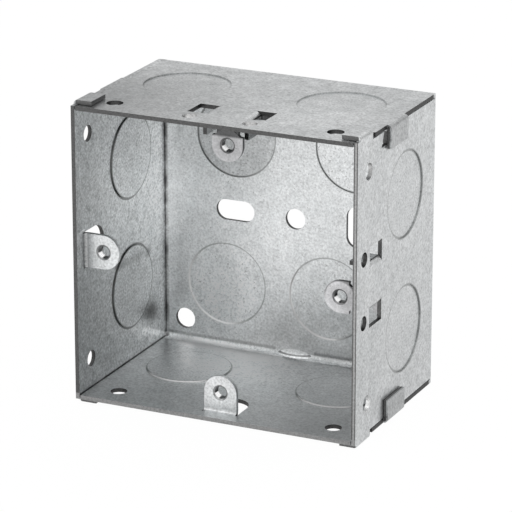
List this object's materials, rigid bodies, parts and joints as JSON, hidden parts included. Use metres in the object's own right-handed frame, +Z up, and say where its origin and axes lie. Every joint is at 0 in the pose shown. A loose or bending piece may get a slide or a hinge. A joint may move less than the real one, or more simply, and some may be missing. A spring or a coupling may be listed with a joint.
{
  "type": "flush back box",
  "caption": "Square one-gang flush back box of folded galvanised steel, with an open front, knockouts, fixing slots, fixed lugs and sliding adjustable lugs for a faceplate.",
  "frame": {"origin": "centre of the back plate's outer face", "axes": "+Y out of the back plate, into the wall that the box is fixed to; the open front faces -Y; +Z up; +X right seen from the front"},
  "size_m": [0.0742, 0.047, 0.0742],
  "materials": {
    "galvanised_sheet": "galvanised zinc, satin with fine spangle",
    "galvanised_lug": "galvanised zinc, satin"
  },
  "bodies": {
    "box": {"box_body": "galvanised_sheet"},
    "top_lug": {"top_sliding_lug": "galvanised_lug"},
    "right_lug": {"right_sliding_lug": "galvanised_lug"}
  },
  "joints": [
    {"name": "top_lug_slide", "type": "slide", "parent": "box", "child": "top_lug", "axis": [1, 0, 0], "range_m": [-0.0045, 0.0005]},
    {"name": "right_lug_slide", "type": "slide", "parent": "box", "child": "right_lug", "axis": [0, 0, 1], "range_m": [-0.0005, 0.0045]}
  ]
}
